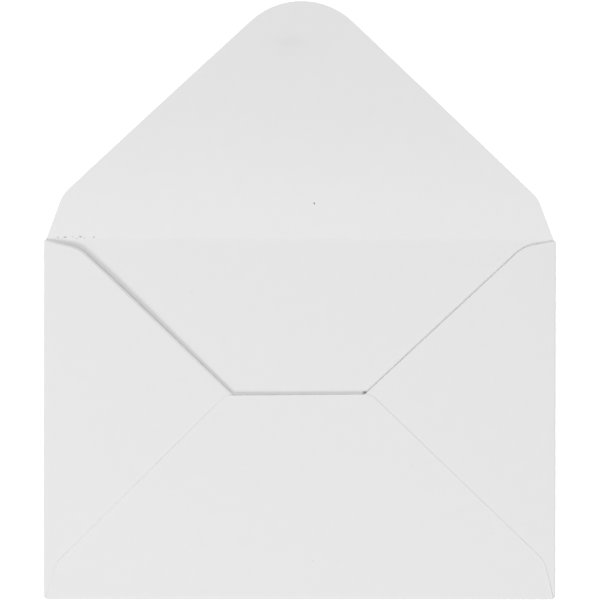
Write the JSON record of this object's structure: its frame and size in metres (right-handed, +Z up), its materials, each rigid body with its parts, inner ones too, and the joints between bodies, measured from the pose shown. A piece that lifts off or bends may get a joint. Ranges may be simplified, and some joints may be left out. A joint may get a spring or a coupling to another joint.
{
  "type": "paper envelope",
  "caption": "Empty pointed-flap paper envelope, folded and glued from one sheet, lying open on its back to hold a letter or card.",
  "frame": {"origin": "middle of the lying envelope in X and Y, flap included, on the surface that its back panel lies on", "axes": "+X across the envelope, +Y from the bottom fold towards the tip of the open top flap, +Z up, out of the flap side"},
  "size_m": [0.162, 0.1894, 0.0021],
  "materials": {
    "paper": "matte"
  },
  "bodies": {
    "root": {"envelope": "paper"}
  },
  "joints": []
}
